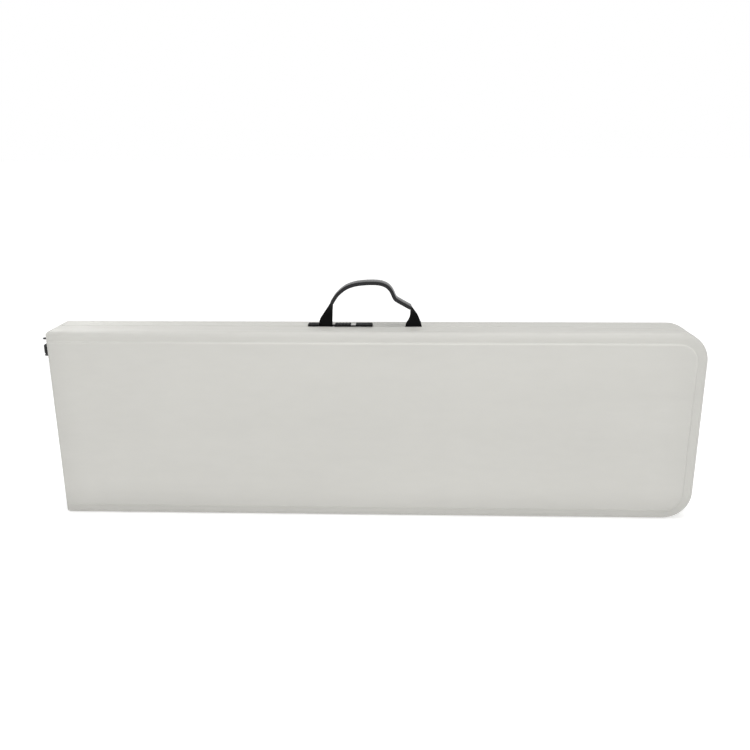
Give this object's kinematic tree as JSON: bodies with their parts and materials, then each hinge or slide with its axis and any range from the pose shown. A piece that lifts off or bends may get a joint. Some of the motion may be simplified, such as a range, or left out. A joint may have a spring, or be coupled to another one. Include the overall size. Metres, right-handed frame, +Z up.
{
  "type": "folding table",
  "caption": "Narrow fold-in-half table with blow-moulded tops, folding steel legs, sliding braces, edge latch and webbing carrying handle, stored as a flat upright case.",
  "frame": {"origin": "middle of the folded case on the surface that its long edge stands on, which is the bottom centre of the bounding box", "axes": "+X along the folded case from the hinge end to the rounded outer end, +Y through the thickness from the front half to the back half, +Z up across the table's width to the handle edge"},
  "size_m": [0.935, 0.078, 0.3413],
  "materials": {
    "moulded_top": "satin, fine moulded grain",
    "frame_steel": "powder coated grey",
    "zinc_steel": "zinc plated",
    "black_plastic": "moulded, satin",
    "black_steel": "black powder coat",
    "handle_grip": "glossy moulded",
    "webbing": "flat woven webbing",
    "foot_rubber": "matt",
    "hinge_bush": "moulded, natural with a faint red cast"
  },
  "bodies": {
    "front_half": {"front_top": "moulded_top", "front_rail_lower": "frame_steel", "front_rail_upper": "frame_steel", "front_rail_lower_screw_1": "zinc_steel", "front_rail_lower_screw_2": "zinc_steel", "front_rail_upper_screw_1": "zinc_steel", "front_rail_upper_screw_2": "zinc_steel", "front_brace_track": "frame_steel", "front_leg_axle": "zinc_steel", "hinge_fork_lower": "black_steel", "hinge_fork_upper": "black_steel", "hinge_pin_lower": "zinc_steel", "hinge_pin_upper": "zinc_steel", "hinge_bush_lower": "hinge_bush", "hinge_bush_upper": "hinge_bush", "latch_catch": "zinc_steel"},
    "back_half": {"back_top": "moulded_top", "back_rail_lower": "frame_steel", "back_rail_upper": "frame_steel", "back_rail_lower_screw_1": "zinc_steel", "back_rail_lower_screw_2": "zinc_steel", "back_rail_upper_screw_1": "zinc_steel", "back_rail_upper_screw_2": "zinc_steel", "back_brace_track": "frame_steel", "back_leg_axle": "zinc_steel", "hinge_knuckle_lower": "black_plastic", "hinge_knuckle_upper": "black_plastic", "latch_housing": "black_plastic", "latch_screw_1": "zinc_steel", "latch_screw_2": "zinc_steel", "handle_tab_left": "webbing", "handle_tab_right": "webbing", "handle_screw_left": "zinc_steel", "handle_screw_right": "zinc_steel"},
    "front_leg": {"front_leg_sleeve": "frame_steel", "front_leg_lower": "frame_steel", "front_leg_upper": "frame_steel", "front_leg_crossbar": "frame_steel", "front_foot_lower": "foot_rubber", "front_foot_upper": "foot_rubber"},
    "front_brace": {"front_brace": "frame_steel", "front_brace_glide": "black_plastic"},
    "front_ring": {"front_lock_ring": "zinc_steel"},
    "back_leg": {"back_leg_sleeve": "frame_steel", "back_leg_lower": "frame_steel", "back_leg_upper": "frame_steel", "back_leg_crossbar": "frame_steel", "back_foot_lower": "foot_rubber", "back_foot_upper": "foot_rubber"},
    "back_brace": {"back_brace": "frame_steel", "back_brace_glide": "black_plastic"},
    "back_ring": {"back_lock_ring": "zinc_steel"},
    "latch": {"latch_bolt": "zinc_steel", "latch_knob": "black_plastic"},
    "handle": {"handle_strap_left": "webbing", "handle_strap_right": "webbing", "handle_grip": "handle_grip"}
  },
  "joints": [
    {"name": "fold", "type": "hinge", "parent": "front_half", "child": "back_half", "pos_m": [-0.4475, 0, 0.1385], "axis": [0, 0, 1], "range_deg": [0, 180]},
    {"name": "front_leg_fold", "type": "hinge", "parent": "front_half", "child": "front_leg", "pos_m": [0.4025, -0.013, 0.1385], "axis": [0, 0, 1], "range_deg": [-90, 0]},
    {"name": "back_leg_fold", "type": "hinge", "parent": "back_half", "child": "back_leg", "pos_m": [0.4025, 0.013, 0.1385], "axis": [0, 0, 1], "range_deg": [0, 90]},
    {"name": "front_brace_swing", "type": "hinge", "parent": "front_leg", "child": "front_brace", "pos_m": [0.1725, -0.013, 0.1385], "axis": [0, 0, 1], "range_deg": [0, 134.23]},
    {"name": "back_brace_swing", "type": "hinge", "parent": "back_leg", "child": "back_brace", "pos_m": [0.1725, 0.013, 0.1385], "axis": [0, 0, 1], "range_deg": [-134.23, 0]},
    {"name": "front_ring_slide", "type": "slide", "parent": "front_brace", "child": "front_ring", "axis": [-1, 0, 0], "range_m": [0, 0.06]},
    {"name": "back_ring_slide", "type": "slide", "parent": "back_brace", "child": "back_ring", "axis": [-1, 0, 0], "range_m": [0, 0.06]},
    {"name": "latch_slide", "type": "slide", "parent": "back_half", "child": "latch", "axis": [1, 0, 0], "range_m": [0, 0.005]},
    {"name": "handle_swing", "type": "hinge", "parent": "back_half", "child": "handle", "pos_m": [0.0025, 0.0029, 0.279], "axis": [1, 0, 0], "range_deg": [-70, 70]}
  ],
  "couplings": [
    {"joint": "front_leg_fold", "follows": "fold", "ratio": -0.5},
    {"joint": "back_leg_fold", "follows": "fold", "ratio": 0.5},
    {"joint": "front_brace_swing", "follows": "fold", "ratio": 0.74547},
    {"joint": "back_brace_swing", "follows": "fold", "ratio": -0.74547}
  ]
}
